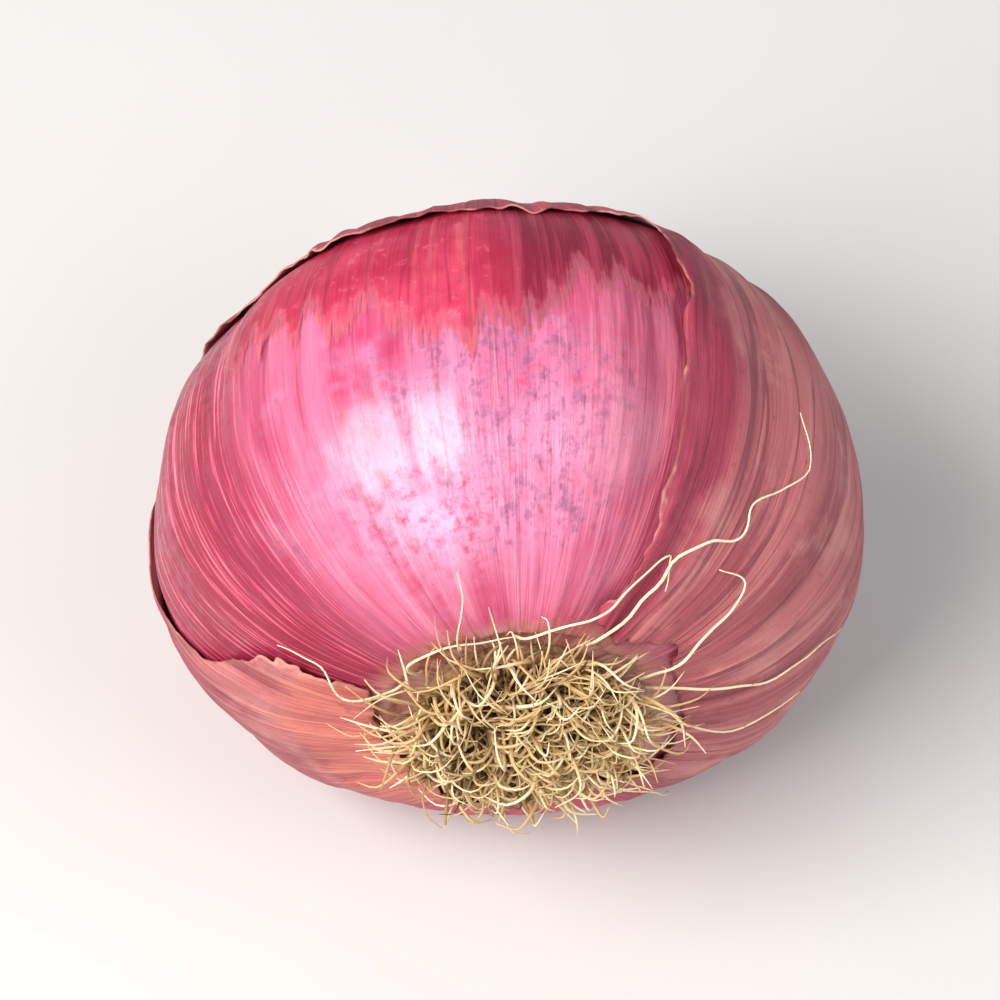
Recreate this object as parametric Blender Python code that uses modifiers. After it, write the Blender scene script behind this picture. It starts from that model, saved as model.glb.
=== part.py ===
"""A dried red onion, lying on its side on a small flat spot.

Metres, +Z up. The root end points to -Y and the neck to +Y. The origin is on the surface
that the onion lies on, under the middle of its box.

The bulb's own frame, in which every shape is worked out, has +Y along its axis from the root
plate to the neck. A place on its skin is an angle round that axis, with 0 at +X and a quarter
turn at +Z, and a way: the distance from the middle of the root plate, along the outline.
"""

import math
import random

import bmesh
import bpy
import numpy as np
from mathutils import Matrix, Vector, noise

MM = 0.001

# Outline of the bulb and its neck: distance along the axis, then radius
OUTLINE = MM * np.array(
    (
        (2.0, 0.0), (2.0, 5.0), (2.0, 10.2), (1.0, 12.0), (1.4, 16.0), (3.8, 22.5),
        (8.8, 28.1), (15.2, 31.3), (21.8, 32.0), (28.4, 31.1), (34.4, 28.4), (39.4, 23.8),
        (43.0, 17.8), (45.6, 12.2), (48.6, 8.8), (52.4, 7.0), (56.0, 6.0), (58.6, 4.6),
        (60.0, 2.2), (60.2, 0.0),
    )
)  # fmt: skip

# How the bulb lies
TILT = math.radians(1.5)  # the neck hangs this much lower than the root end
AXIS_HEIGHT = 31.3 * MM  # of the axis over the surface, at the widest ring
WIDEST_AT = 21.8 * MM
WIDEST_BEFORE_MIDDLE = 5.7 * MM  # from the middle of the onion's box to the widest ring
AXIS_ASIDE = 0.53 * MM  # from the middle of the onion's box, towards +X

# Unevenness of the skin
LOBES = ((2, 0.6, 0.014), (3, 2.0, 0.009))  # count, phase, share of the radius
RIBS = ((11, 0.4, 0.16 * MM), (17, 1.9, 0.13 * MM), (7, 4.0, 0.12 * MM))
PLEATS = ((5, 0.9, 0.10), (8, 2.6, 0.06))
PLEAT_TWIST = 1 / (9 * MM)  # radians for each metre along the neck
LOBES_FULL_AT = 12 * MM  # radius
PLEATS_FROM = 41.5 * MM
PLEATS_FULL_AT = 52 * MM
NECK_FROM = 44 * MM
NECK_BEND = Vector((3.0, 0.0, -10.0)) * MM  # sideways and down, at the tip

# The outer dry scale, torn away over a window on top and a hole low on the far side
SCALE_LIFT = 0.6 * MM  # over the skin under it
SCALE_WALL = 1.1 * MM  # part of it is sunk into the bulb
WINDOW_RIGHT = math.radians(65)
WINDOW_LEFT = math.radians(188)
WINDOW_ENDS_AT = 60 * MM  # way from the root plate
STRIP_WIDTH = math.radians(20)  # what is left of the scale at the window's left, near the roots
STRIP_NARROWS_FROM = 20 * MM
STRIP_NARROWS_TO = 36 * MM
HOLE_ANGLE = math.radians(-62)
HOLE_WAY = 56.5 * MM
HOLE_HALF_LENGTH = 11 * MM
HOLE_HALF_WIDTH = 7.5 * MM
ROOT_EDGE_WAY = 15.5 * MM
ROOT_TONGUE = 2.6 * MM  # the strip reaches this much nearer to the plate
ROOT_TONGUE_ANGLE = math.radians(210)
ROOT_TONGUE_HALF = math.radians(45)
NECK_EDGE_WAY = 92.2 * MM
NECK_TEETH = ((3, 0.5, 3.2 * MM), (7, 1.7, 2.6 * MM), (11, 0.2, 1.4 * MM))
RAGGED = ((7.0 * MM, 2.4 * MM), (2.6 * MM, 0.8 * MM))  # size of the teeth, depth
RAGGED_SQUEEZE = 0.6  # the teeth are this much longer along the bulb than across it
CURL_REACH = 7 * MM  # how far from the torn edge a curl begins

# Curls of the torn edge: angle in degrees, way, half width, height
CURLS = (
    (63, 32 * MM, 9 * MM, 2.0 * MM),
    (59, 51 * MM, 7 * MM, 1.6 * MM),
    (172, 22 * MM, 8 * MM, 1.8 * MM),
    (186, 46 * MM, 8 * MM, 1.2 * MM),
    (120, 61.5 * MM, 9 * MM, 1.8 * MM),
    (-62, 65.5 * MM, 8 * MM, 1.8 * MM),
    (236, 16 * MM, 7 * MM, 1.6 * MM),
)
NECK_FLARE = 2.6 * MM
NECK_FLARE_FROM = 82 * MM  # way
NECK_FLARE_FULL_AT = 96 * MM

# The root plate and its dried roots
PLATE_RADIUS = 9.8 * MM
PLATE_FLOOR = 1.7 * MM  # 0.3 mm off the floor of the bulb's dish
PLATE_RISE = 1.7 * MM
PLATE_DOME = 0.9 * MM
PLATE_SIDES = 40
PLATE_INSETS = (0.3, 0.45)  # of its radius
PLATE_ROUGHNESS = 0.35 * MM
PLATE_GRAIN = 2.5 * MM
ROOT_SUNK = 1.3 * MM  # into the plate
ROOT_COUNT = 60
ROOT_RADIUS = 0.5 * MM
ROOT_TIP_SHARE = 0.6
ROOT_POINTS = 5
ROOT_SPREAD = 8.7 * MM  # of the roots' feet on the plate
ROOT_LENGTHS = (4.5 * MM, 8.0 * MM)
STRAY_COUNT = 7
STRAY_FOOT_SHARE = 0.9  # of the way out to the edge of the spread
STRAY_LEAN = 1.6
STRAY_LENGTHS = (13 * MM, 20 * MM)
STRAY_POINTS = 9
ROOT_BEND = 0.58
ROOT_TURN_BACK = Vector((0, 0.35, 0))  # towards the bulb
ROOT_CLEARANCE = 1.7 * MM  # of a root's middle line over the skin
GOLDEN_ANGLE = math.pi * (3 - math.sqrt(5))

# Grid of the turned surface
SEGMENTS = 60
RINGS = 44
SNAP = 1.2 * MM  # the furthest that one step moves a place towards the torn edge
SHORTEST_EDGE = 0.7 * MM  # along the torn edge
SLIVER = 0.02 * MM  # corners that a join leaves closer than this are made one


def curve_through(points, steps=24):
    """A smooth line through the points, with this many steps from each to the next."""
    ends = np.vstack([2 * points[0] - points[1], points, 2 * points[-1] - points[-2]])
    t = np.linspace(0, 1, steps, endpoint=False)[:, None]
    spans = [
        b + (c - a) * t / 2 + (a - 2.5 * b + 2 * c - d / 2) * t**2
        + (1.5 * (b - c) + (d - a) / 2) * t**3
        for a, b, c, d in zip(ends, ends[1:], ends[2:], ends[3:])
    ]  # fmt: skip
    return np.vstack([*spans, points[-1:]])


LINE = curve_through(OUTLINE)
WAYS = np.concatenate([[0], np.cumsum(np.linalg.norm(np.diff(LINE, axis=0), axis=1))])
NORMALS = np.gradient(LINE, axis=0)[:, ::-1] * (-1, 1)
NORMALS /= np.linalg.norm(NORMALS, axis=1)[:, None]


def outline(way):
    """Distance along the axis, radius, and the normal's two shares, at a way."""
    along, radius = (np.interp(way, WAYS, LINE[:, i]) for i in (0, 1))
    lean, out = (np.interp(way, WAYS, NORMALS[:, i]) for i in (0, 1))
    return along, radius, lean, out


def smooth(value, low, high):
    """0 below low and 1 above high, with a soft step between."""
    share = min(max((value - low) / (high - low), 0), 1)
    return share * share * (3 - 2 * share)


def turn_between(angle, middle):
    """The angle from the middle, between half a turn each way."""
    return math.remainder(angle - middle, math.tau)


def skin(angle, way, lift=0.0):
    """The point of the bulb's skin at an angle and way, raised by the lift."""
    along, radius, lean, out = outline(way)
    width = smooth(radius, 0, LOBES_FULL_AT)
    lobes = sum(share * math.cos(n * angle + phase) for n, phase, share in LOBES)
    ribs = sum(depth * math.cos(n * angle + phase) for n, phase, depth in RIBS)
    turn = along * PLEAT_TWIST
    pleats = sum(share * math.cos(n * angle + phase + turn) for n, phase, share in PLEATS)
    pleated = smooth(along, PLEATS_FROM, PLEATS_FULL_AT)
    across = radius * (1 + lobes * width + pleats * pleated) + ribs * width + out * lift
    bend = NECK_BEND * max(along - NECK_FROM, 0) ** 2 / (LINE[-1, 0] - NECK_FROM) ** 2
    return Vector((across * math.cos(angle), along + lean * lift, across * math.sin(angle))) + bend


def scale_depth(angle, way):
    """How far inside the torn edge of the outer scale a place is. Below zero the scale is gone."""
    along, radius, _, _ = outline(way)
    left = WINDOW_LEFT - STRIP_WIDTH * (1 - smooth(way, STRIP_NARROWS_FROM, STRIP_NARROWS_TO))
    half = (left - WINDOW_RIGHT) / 2
    across = (abs(turn_between(angle, left - half)) - half) * radius
    window = max(across, way - WINDOW_ENDS_AT)
    from_hole = math.hypot(
        turn_between(angle, HOLE_ANGLE) * radius / HOLE_HALF_WIDTH,
        (way - HOLE_WAY) / HOLE_HALF_LENGTH,
    )
    hole = (from_hole - 1) * HOLE_HALF_WIDTH
    tongue_share = turn_between(angle, ROOT_TONGUE_ANGLE) / ROOT_TONGUE_HALF
    root_edge = ROOT_EDGE_WAY - ROOT_TONGUE * math.exp(-(tongue_share**2))
    spot = Vector((radius * math.cos(angle), along * RAGGED_SQUEEZE, radius * math.sin(angle)))
    ragged = sum(depth * noise.noise(spot / size) for size, depth in RAGGED)
    teeth = sum(depth * math.cos(n * angle + phase) for n, phase, depth in NECK_TEETH)
    return min(min(window, hole, way - root_edge) + ragged, NECK_EDGE_WAY + teeth - way)


def scale_lift(angle, way):
    """How far the outer scale stands off the skin, with its curled edges and flared tips."""
    radius = outline(way)[1]
    near_edge = 1 - smooth(scale_depth(angle, way), 0, CURL_REACH)
    curl = 0
    for turn, at, half, height in CURLS:
        across = turn_between(angle, math.radians(turn)) * radius
        curl += height * math.exp(-((way - at) ** 2 + across**2) / half**2)
    flare = NECK_FLARE * smooth(way, NECK_FLARE_FROM, NECK_FLARE_FULL_AT)
    return SCALE_LIFT + curl * near_edge**2 + flare


def bulb_place():
    """Lays the bulb's own frame down: tilts it at its widest ring and sets that over the surface."""
    pivot = Matrix.Translation((0, -WIDEST_AT, 0))
    place = Matrix.Translation((AXIS_ASIDE, -WIDEST_BEFORE_MIDDLE, AXIS_HEIGHT))
    return place @ Matrix.Rotation(-TILT, 4, "X") @ pivot


def new_object(name, bm, collection):
    mesh = bpy.data.meshes.new(name)
    bm.to_mesh(mesh)
    bm.free()
    obj = bpy.data.objects.new(name, mesh)
    collection.objects.link(obj)
    return obj


def turned_grid():
    """A ball as a bmesh, and for each of its vertices the angle and way that it stands for."""
    bm = bmesh.new()
    bmesh.ops.create_uvsphere(bm, u_segments=SEGMENTS, v_segments=RINGS, radius=1)
    places = {}
    for v in bm.verts:
        share = math.acos(max(-1, min(1, -v.co.z))) / math.pi
        places[v] = [math.atan2(v.co.y, v.co.x), share * WAYS[-1]]
    return bm, places


def make_body(collection):
    """The bulb with its neck, without the outer scale."""
    bm, places = turned_grid()
    for v, (angle, way) in places.items():
        v.co = skin(angle, way)
    bmesh.ops.recalc_face_normals(bm, faces=bm.faces)
    return new_object("bulb", bm, collection)


def onto_torn_edge(place):
    """Moves a place by small steps until it lies on the torn edge."""
    step = 0.2 * MM
    for _ in range(4):
        angle, way = place
        radius = outline(way)[1]
        depth = scale_depth(angle, way)
        across = (scale_depth(angle + step / radius, way) - depth) / step
        along = (scale_depth(angle, way + step) - depth) / step
        pull = max(-SNAP, min(SNAP, depth)) / max(across**2 + along**2, 0.5)
        place[0] -= pull * across / radius
        place[1] -= pull * along


def make_outer_scale(collection):
    """The torn outer scale: the grid's faces inside the torn edge, with their rim on that edge."""
    bm, places = turned_grid()
    gone = [f for f in bm.faces if scale_depth(*face_place(f, places)) < 0]
    bmesh.ops.delete(bm, geom=gone, context="FACES")
    keep_largest_piece(bm)
    drop_pinched_corners(bm)
    for v in bm.verts:
        if v.is_boundary:
            onto_torn_edge(places[v])
    for v in bm.verts:
        v.co = skin(*places[v], scale_lift(*places[v]))
    bmesh.ops.remove_doubles(bm, verts=[v for v in bm.verts if v.is_boundary], dist=SHORTEST_EDGE)
    bmesh.ops.reverse_faces(bm, faces=bm.faces)
    scale = new_object("outer_scale", bm, collection)
    wall = scale.modifiers.new("Wall", "SOLIDIFY")
    wall.thickness = SCALE_WALL
    wall.offset = -1
    return scale


def face_place(face, places):
    """The angle and way at a face's middle. The angle is taken on the circle, where it has no seam."""
    corners = [places[v] for v in face.verts if 0 < places[v][1] < WAYS[-1]]
    middle = sum((Vector((math.cos(a), math.sin(a))) for a, _ in corners), Vector((0, 0)))
    return math.atan2(middle.y, middle.x), sum(way for _, way in corners) / len(corners)


def keep_largest_piece(bm):
    """Removes the faces that don't hang together with the most of them, edge to edge."""
    left = set(bm.faces)
    pieces = []
    while left:
        piece, front = set(), [left.pop()]
        while front:
            face = front.pop()
            piece.add(face)
            near = {other for edge in face.edges for other in edge.link_faces} & left
            left -= near
            front.extend(near)
        pieces.append(piece)
    largest = max(pieces, key=len)
    bmesh.ops.delete(bm, geom=[f for f in bm.faces if f not in largest], context="FACES")


def drop_pinched_corners(bm):
    """Removes the faces round a vertex where the open edge touches itself."""
    pinched = [v for v in bm.verts if sum(e.is_boundary for e in v.link_edges) > 2]
    around = {f for v in pinched for f in v.link_faces}
    bmesh.ops.delete(bm, geom=list(around), context="FACES")


def joined(base, pieces, solver):
    """The base with a collection of pieces joined on by one Boolean, applied. The pieces are removed."""
    union = base.modifiers.new("Join", "BOOLEAN")
    union.operation = "UNION"
    union.operand_type = "COLLECTION"
    union.collection = pieces
    union.solver = solver
    graph = bpy.context.evaluated_depsgraph_get()
    bm = bmesh.new()
    bm.from_object(base, graph)
    bmesh.ops.remove_doubles(bm, verts=bm.verts, dist=SLIVER)
    bmesh.ops.dissolve_degenerate(bm, edges=bm.edges, dist=SLIVER)
    bmesh.ops.triangulate(bm, faces=bm.faces)
    keep_largest_piece(bm)  # a pocket sealed under the outer scale is filled by this
    base.modifiers.clear()
    bm.to_mesh(base.data)
    bm.free()
    for piece in list(pieces.objects):
        bpy.data.objects.remove(piece)
    bpy.data.collections.remove(pieces)


def cut_flat_spot(obj):
    """Cuts the object off level with the surface, and closes the cut with one flat face."""
    bm = bmesh.new()
    bm.from_mesh(obj.data)
    everything = [*bm.verts, *bm.edges, *bm.faces]
    cut = bmesh.ops.bisect_plane(
        bm, geom=everything, plane_co=(0, 0, 0), plane_no=(0, 0, 1), clear_inner=True
    )
    rim = [e for e in cut["geom_cut"] if isinstance(e, bmesh.types.BMEdge)]
    bmesh.ops.contextual_create(bm, geom=rim)
    bmesh.ops.recalc_face_normals(bm, faces=bm.faces)
    bm.to_mesh(obj.data)
    bm.free()


def make_plate(collection):
    """The corky root plate: a low drum with a domed, rough face, seated in the bulb's dish."""
    bm = bmesh.new()
    middle = PLATE_FLOOR - PLATE_RISE / 2
    bmesh.ops.create_cone(
        bm,
        cap_ends=True,
        segments=PLATE_SIDES,
        radius1=PLATE_RADIUS,
        radius2=PLATE_RADIUS,
        depth=PLATE_RISE,
        matrix=Matrix.Translation((0, middle, 0)) @ Matrix.Rotation(math.pi / 2, 4, "X"),
    )
    face = min(bm.faces, key=lambda f: f.calc_center_median().y)
    for share in PLATE_INSETS:
        bmesh.ops.inset_region(bm, faces=[face], thickness=share * PLATE_RADIUS)
    for v in bm.verts:
        if v.co.y < middle:
            reach = math.hypot(v.co.x, v.co.z) / PLATE_RADIUS
            v.co.y -= PLATE_DOME * (1 - reach**2) + PLATE_ROUGHNESS * noise.noise(v.co / PLATE_GRAIN)
    return new_object("root_tuft", bm, collection)


def clear_of_skin(point):
    """Moves a root's point out along the axis until it clears the bulb's root end."""
    root_side = LINE[: int(np.argmax(LINE[:, 1])) + 1]
    radius = math.hypot(point.x, point.z)
    most = np.interp(radius, root_side[:, 1], root_side[:, 0]) - ROOT_CLEARANCE
    if radius > ROOT_SPREAD and point.y > most:
        point.y = most
    return point


def root_line(foot, out, length, count, rng):
    """Points along one dried root: out of the plate, then bending over and away."""
    point = foot.copy()
    aim = (Vector((0, -1, 0)) + (out + random_lean(rng)) / 2).normalized()
    bow = ROOT_BEND * (out + random_lean(rng)) + ROOT_TURN_BACK
    points = [foot + Vector((0, ROOT_SUNK, 0)), foot]
    for step in range(count - 2):
        share = (step + 1) / (count - 2)
        aim = (aim + share * bow).normalized()
        point = clear_of_skin(point + aim * length / (count - 2))
        points.append(point.copy())
    return points


def random_lean(rng):
    turn = rng.uniform(0, math.tau)
    return Vector((math.cos(turn), 0, math.sin(turn))) * rng.uniform(0.2, 1)


def make_root(points, collection):
    """One root as a tapered tube with closed ends."""
    curve = bpy.data.curves.new("root", "CURVE")
    curve.dimensions = "3D"
    curve.bevel_depth = ROOT_RADIUS
    curve.bevel_resolution = 1
    curve.use_fill_caps = True
    spline = curve.splines.new("POLY")
    spline.points.add(len(points) - 1)
    for i, point in enumerate(points):
        spline.points[i].co = (*point, 1)
        spline.points[i].radius = 1 - (1 - ROOT_TIP_SHARE) * i / (len(points) - 1)
    tube = bpy.data.objects.new("root", curve)
    bpy.context.scene.collection.objects.link(tube)
    graph = bpy.context.evaluated_depsgraph_get()
    bm = bmesh.new()
    bm.from_mesh(bpy.data.meshes.new_from_object(tube.evaluated_get(graph)))
    bmesh.ops.remove_doubles(bm, verts=bm.verts, dist=0.01 * MM)
    bmesh.ops.recalc_face_normals(bm, faces=bm.faces)
    bpy.data.objects.remove(tube)
    return new_object("root", bm, collection)


def make_roots(collection):
    """The short roots, spread evenly over the plate, and the stray ones that lie along the skin."""
    rng = random.Random(7)
    for i in range(ROOT_COUNT):
        share = math.sqrt((i + 0.5) / ROOT_COUNT)
        turn = i * GOLDEN_ANGLE
        out = Vector((math.cos(turn), 0, math.sin(turn)))
        foot = out * share * ROOT_SPREAD + Vector((0, plate_face(share), 0))
        length = rng.uniform(*ROOT_LENGTHS)
        make_root(root_line(foot, out * share, length, ROOT_POINTS, rng), collection)
    for i in range(STRAY_COUNT):
        turn = i * math.tau / STRAY_COUNT + rng.uniform(-0.2, 0.2)
        out = Vector((math.cos(turn), 0, math.sin(turn)))
        foot = out * STRAY_FOOT_SHARE * ROOT_SPREAD + Vector((0, plate_face(STRAY_FOOT_SHARE), 0))
        length = rng.uniform(*STRAY_LENGTHS)
        make_root(root_line(foot, out * STRAY_LEAN, length, STRAY_POINTS, rng), collection)


def plate_face(share):
    """Where the plate's domed face stands along the axis, at a share of its radius."""
    return PLATE_FLOOR - PLATE_RISE - PLATE_DOME * (1 - share**2)


def finish(obj, name, colour, roughness):
    """Lays the object down, shades it smooth and gives it its material."""
    obj.data.transform(bulb_place())
    obj.data.shade_smooth()
    obj.data.set_sharp_from_angle(angle=math.radians(40))
    material = bpy.data.materials.new(name)
    material.use_nodes = True
    shader = material.node_tree.nodes["Principled BSDF"]
    shader.inputs["Base Color"].default_value = (*colour, 1)
    shader.inputs["Roughness"].default_value = roughness
    obj.data.materials.clear()
    obj.data.materials.append(material)


def new_collection(name):
    collection = bpy.data.collections.new(name)
    bpy.context.scene.collection.children.link(collection)
    return collection


def main():
    for obj in list(bpy.data.objects):
        bpy.data.objects.remove(obj)
    onion = new_collection("onion")

    bulb = make_body(onion)
    scales = new_collection("scales")
    make_outer_scale(scales)
    joined(bulb, scales, "MANIFOLD")
    finish(bulb, "red onion skin", (0.42, 0.06, 0.14), 0.4)
    cut_flat_spot(bulb)

    tuft = make_plate(onion)
    roots = new_collection("roots")
    make_roots(roots)
    joined(tuft, roots, "EXACT")
    finish(tuft, "dried roots", (0.62, 0.45, 0.26), 0.85)


main()
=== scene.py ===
"""A red onion on a pale floor: its skin, torn scale, neck, root plate and roots, lamps and camera.

Metres, +Z up. Shapes are worked out in the bulb's own frame, with +Y along its axis from the root plate
to the neck. A place on the skin is an angle round that axis, with 0 at +X and a quarter turn at +Z, and
a way: the distance from the middle of the root plate, along the outline. Ranges are lowest, highest.
Drawn noise is given as its features per radian round the axis, per 100 mm along it, and its height.
"""

import math
import random

import bmesh
import bpy
import numpy as np
from mathutils import Matrix, Quaternion, Vector, noise


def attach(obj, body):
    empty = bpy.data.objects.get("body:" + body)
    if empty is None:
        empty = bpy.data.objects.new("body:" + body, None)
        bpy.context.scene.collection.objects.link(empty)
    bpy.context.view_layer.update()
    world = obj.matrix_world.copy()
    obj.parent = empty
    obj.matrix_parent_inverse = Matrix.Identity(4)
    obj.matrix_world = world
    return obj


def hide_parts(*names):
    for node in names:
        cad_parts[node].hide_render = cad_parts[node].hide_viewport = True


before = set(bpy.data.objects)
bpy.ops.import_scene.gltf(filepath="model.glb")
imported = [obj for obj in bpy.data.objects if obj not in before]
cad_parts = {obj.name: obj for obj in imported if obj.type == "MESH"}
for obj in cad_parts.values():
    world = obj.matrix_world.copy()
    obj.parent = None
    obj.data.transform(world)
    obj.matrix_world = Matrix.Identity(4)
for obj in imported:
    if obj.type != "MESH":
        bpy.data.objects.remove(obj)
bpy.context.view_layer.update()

MM = 0.001

# Outline of the bulb and its neck: distance along the axis, then radius
OUTLINE = MM * np.array(
    (
        (2.0, 0.0), (2.0, 5.0), (2.0, 10.2), (1.0, 12.0), (1.4, 16.0), (3.8, 22.5),
        (8.8, 28.1), (15.2, 31.3), (21.8, 32.0), (28.4, 31.1), (34.4, 28.4), (39.4, 23.8),
        (43.0, 17.8), (45.6, 12.2), (48.6, 8.8), (52.4, 7.0), (56.0, 6.0), (58.6, 4.6),
        (60.0, 2.2), (60.2, 0.0),
    )
)  # fmt: skip

# How the bulb lies
TILT = math.radians(1.5)
AXIS_HEIGHT = 31.3 * MM
WIDEST_AT = 21.8 * MM
WIDEST_BEFORE_MIDDLE = 5.7 * MM
AXIS_ASIDE = 0.53 * MM

# Unevenness of the skin: lobes as shares of the radius, ribs as heights, each with its count and phase
LOBES = ((2, 0.6, 0.014), (3, 2.0, 0.009))
LOBES_FULL_AT = 12 * MM
RIBS = ((11, 0.4, 0.16 * MM), (17, 1.9, 0.13 * MM), (7, 4.0, 0.12 * MM))
PLEATS = ((5, 0.9, 0.10), (8, 2.6, 0.06))
PLEAT_TWIST = 1 / (9 * MM)
PLEATS_FROM = 41.5 * MM
PLEATS_FULL_AT = 52 * MM
NECK_FROM = 44 * MM
NECK_BEND = np.array((3.0, 0.0, -10.0)) * MM
SKIN_RIPPLES = ((12, 4, 0.16 * MM), (34, 7, 0.07 * MM))
RIPPLES_FROM = 12 * MM
RIPPLES_FULL_AT = 18 * MM
SKIN_RESTS_AT = 0.3 * MM

# Soft spots on the skin: angle in degrees, way, half its turn in degrees, half its length. The pale one
# is a painted highlight
MOTTLED_SPOT = (92, 34 * MM, 20, 9 * MM)
PAINTED_HIGHLIGHT_SPOT = (108, 27 * MM, 17, 6 * MM)

# The outer scale, torn away over a window on top and a hole low on the far side
WINDOW_RIGHT = math.radians(65)
WINDOW_LEFT = math.radians(188)
WINDOW_ENDS_AT = 60 * MM
STRIP_WIDTH = math.radians(20)
STRIP_NARROWS_FROM = 20 * MM
STRIP_NARROWS_TO = 36 * MM
HOLE_ANGLE = math.radians(-62)
HOLE_WAY = 56.5 * MM
HOLE_HALF_LENGTH = 11 * MM
HOLE_HALF_WIDTH = 7.5 * MM
ROOT_EDGE_WAY = 15.5 * MM
ROOT_TONGUE = 2.6 * MM
ROOT_TONGUE_ANGLE = math.radians(210)
ROOT_TONGUE_HALF = math.radians(45)
NECK_EDGE_WAY = 92.2 * MM
NECK_TEETH = ((3, 0.5, 3.2 * MM), (7, 1.7, 2.6 * MM), (11, 0.2, 1.4 * MM), (23, 1.1, 0.9 * MM))
RAGGED = ((7.0 * MM, 2.4 * MM), (2.6 * MM, 0.8 * MM), (1.0 * MM, 0.45 * MM))
RAGGED_SQUEEZE = 0.6
CURL_REACH = 7 * MM
CRINKLES = ((9, 5, 0.30 * MM), (30, 12, 0.12 * MM))
EDGE_CRINKLE = ((14, 14, 0.5 * MM),)

# Curls of the torn edge: angle in degrees, way, half width, height
CURLS = (
    (63, 32 * MM, 9 * MM, 2.0 * MM),
    (59, 51 * MM, 7 * MM, 1.6 * MM),
    (172, 22 * MM, 8 * MM, 0.5 * MM),
    (186, 46 * MM, 8 * MM, 0.1 * MM),
    (120, 61.5 * MM, 9 * MM, 0.4 * MM),
    (-62, 65.5 * MM, 8 * MM, 1.8 * MM),
    (236, 16 * MM, 7 * MM, 1.6 * MM),
)
OUTER_LIFT = 0.6 * MM
OUTER_WALL = 0.14 * MM
OUTER_RESTS_AT = 0.02 * MM
OUTER_DULL = (0.4, 0.8)  # cosines of the angle between which it turns dull
NECK_FLARE = 2.6 * MM
NECK_FLARE_FROM = 82 * MM
NECK_FLARE_FULL_AT = 96 * MM
FLARE_LOST_ON_TOP = 0.85
DRY_NECK = (64 * MM, 92 * MM)  # ways between which the neck turns dry

# The strip of scale beside the roots: its middle, then ranges of turn and way over which it fades away
STRIP_MIDDLE = math.radians(205)
STRIP_DRY_TURN = (0.6, 0.9)
STRIP_DRY_WAY = (15.5 * MM, 27 * MM)
STRIP_DULL_TURN = (0.55, 0.95)
STRIP_DULL_WAY = (30 * MM, 44 * MM)
STRIP_DULLNESS = 0.75

# The thin film left over the skin, inside the window
FILM_EDGE_WAY = 46.5 * MM
FILM_TONGUE = math.radians(99)
FILM_TONGUE_HALF = math.radians(20)
FILM_TONGUE_LENGTH = 6 * MM
FILM_LEFT = math.radians(147)
FILM_RIGHT = math.radians(50)
FILM_END_WAY = 68 * MM
FILM_FIBRES = ((22, 5, 3.2 * MM), (60, 7, 1.6 * MM))
FILM_RAGGEDNESS = 0.7
FILM_LIFT = 0.14 * MM
FILM_RIPPLES = ((12, 8, 0.04 * MM),)
FILM_EDGE_SINKS = 0.04 * MM
FILM_EDGE_REACH = 3 * MM
FILM_WALL = 0.08 * MM
FILM_RESTS_AT = 0.1 * MM
FILM_DULL = (-0.28, 0.18)

# The dried tips of the inner leaves, in the neck
TIP_COUNT = 11
TIP_FOOT = 50 * MM
TIP_PLACES = (2.2 * MM, 5.2 * MM)
TIP_LENGTHS = (6.5 * MM, 12 * MM)
TIP_HALF_WIDTHS = (1.4 * MM, 2.6 * MM)
TIP_SPLAYS = (-0.05, 0.35)
TIP_TWISTS = (-1.2, 1.2)
TIP_GRID = (8, 28)
TIP_NARROWING = 2.2  # as a power of the share of its length
TIP_END_HALF_WIDTH = 0.12 * MM
TIP_CUP = 0.6
TIP_CRUMPLE = 0.25 * MM
TIP_WALL = 0.2 * MM

# The root plate and its dried roots
PLATE_RADIUS = 9.8 * MM
PLATE_FACE = -0.9 * MM
PLATE_BACK = 1.7 * MM
PLATE_DOME = 0.9 * MM
PLATE_CRUMBS = 0.38 * MM
CRUMB_SIZES = (1.1 * MM, 0.45 * MM)
PLATE_SCARS = 0.2 * MM
SCARS_TURN = 24
RIM_STEEPNESS = 12
FACE_STEEPNESS = 8
ROOT_COUNT = 620
ROOT_SPREAD = 9.5 * MM
ROOT_LENGTHS = (4.5 * MM, 11 * MM)
ROOT_RADII = (0.13 * MM, 0.25 * MM)
ROOT_TAPER = 0.8
ROOT_STEPS = 4
ROOT_LEAN_RIGHT = (0.6, 0.95)  # mean and spread
ROOT_LEAN_UP = (0.85, 0.95)
ROOT_SPLAY = 0.3
ROOT_SPLAYS_AT_RIM = (0.2, 2.0)
ROOT_BENDS = (0.25, 1.0)
ROOT_TINTS = (2.5, 1.5)  # alpha and beta of their spread
ROOT_CLEARANCE = 0.4 * MM
LOWER_ROOTS_SHORTER = 0.3
BRUSH_FACE = -4.6 * MM
TURNS_BACK_BY = 0.8
STRAY_RADII = (0.14 * MM, 0.2 * MM)
STRAY_TAPER = 0.7
STRAY_TINTS = (0.75, 1)
STRAY_WAVER = 0.04
STRAY_RISES = (0.35 * MM, 0.6 * MM)  # at its ends, and how much more in its middle
GOLDEN_ANGLE = math.pi * (3 - math.sqrt(5))
STRAND_SIDES = 4

# Grids of the closed shapes and torn sheets
SKIN_GRID = (360, 220)
SHEET_GRID = (300, 160)
PLATE_GRID = (120, 80)
FINE_BAND = 1.3 * MM  # of smaller faces, along a torn edge
RIM_STEP = 0.1 * MM
RIM_PULL = 0.4 * MM  # the furthest that one step moves a place towards the torn edge
SMALLEST_SHEET = 1200  # faces

# Lamps: azimuth and elevation in degrees, distance, size, power and tint
WINDOW_LAMP = ((-58, 47), 0.7, (0.5, 0.38), 7.6, (1.0, 0.985, 0.96))
FILL_LAMP = ((60, 40), 0.9, (0.6, 0.6), 2.3, (0.95, 0.97, 1.0))
LAMPS_AIM_AT = Vector((0, 0, 0.03))
SURROUNDINGS = (0.93, 0.95, 1.0, 1)
SURROUNDINGS_STRENGTH = 0.48

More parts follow.
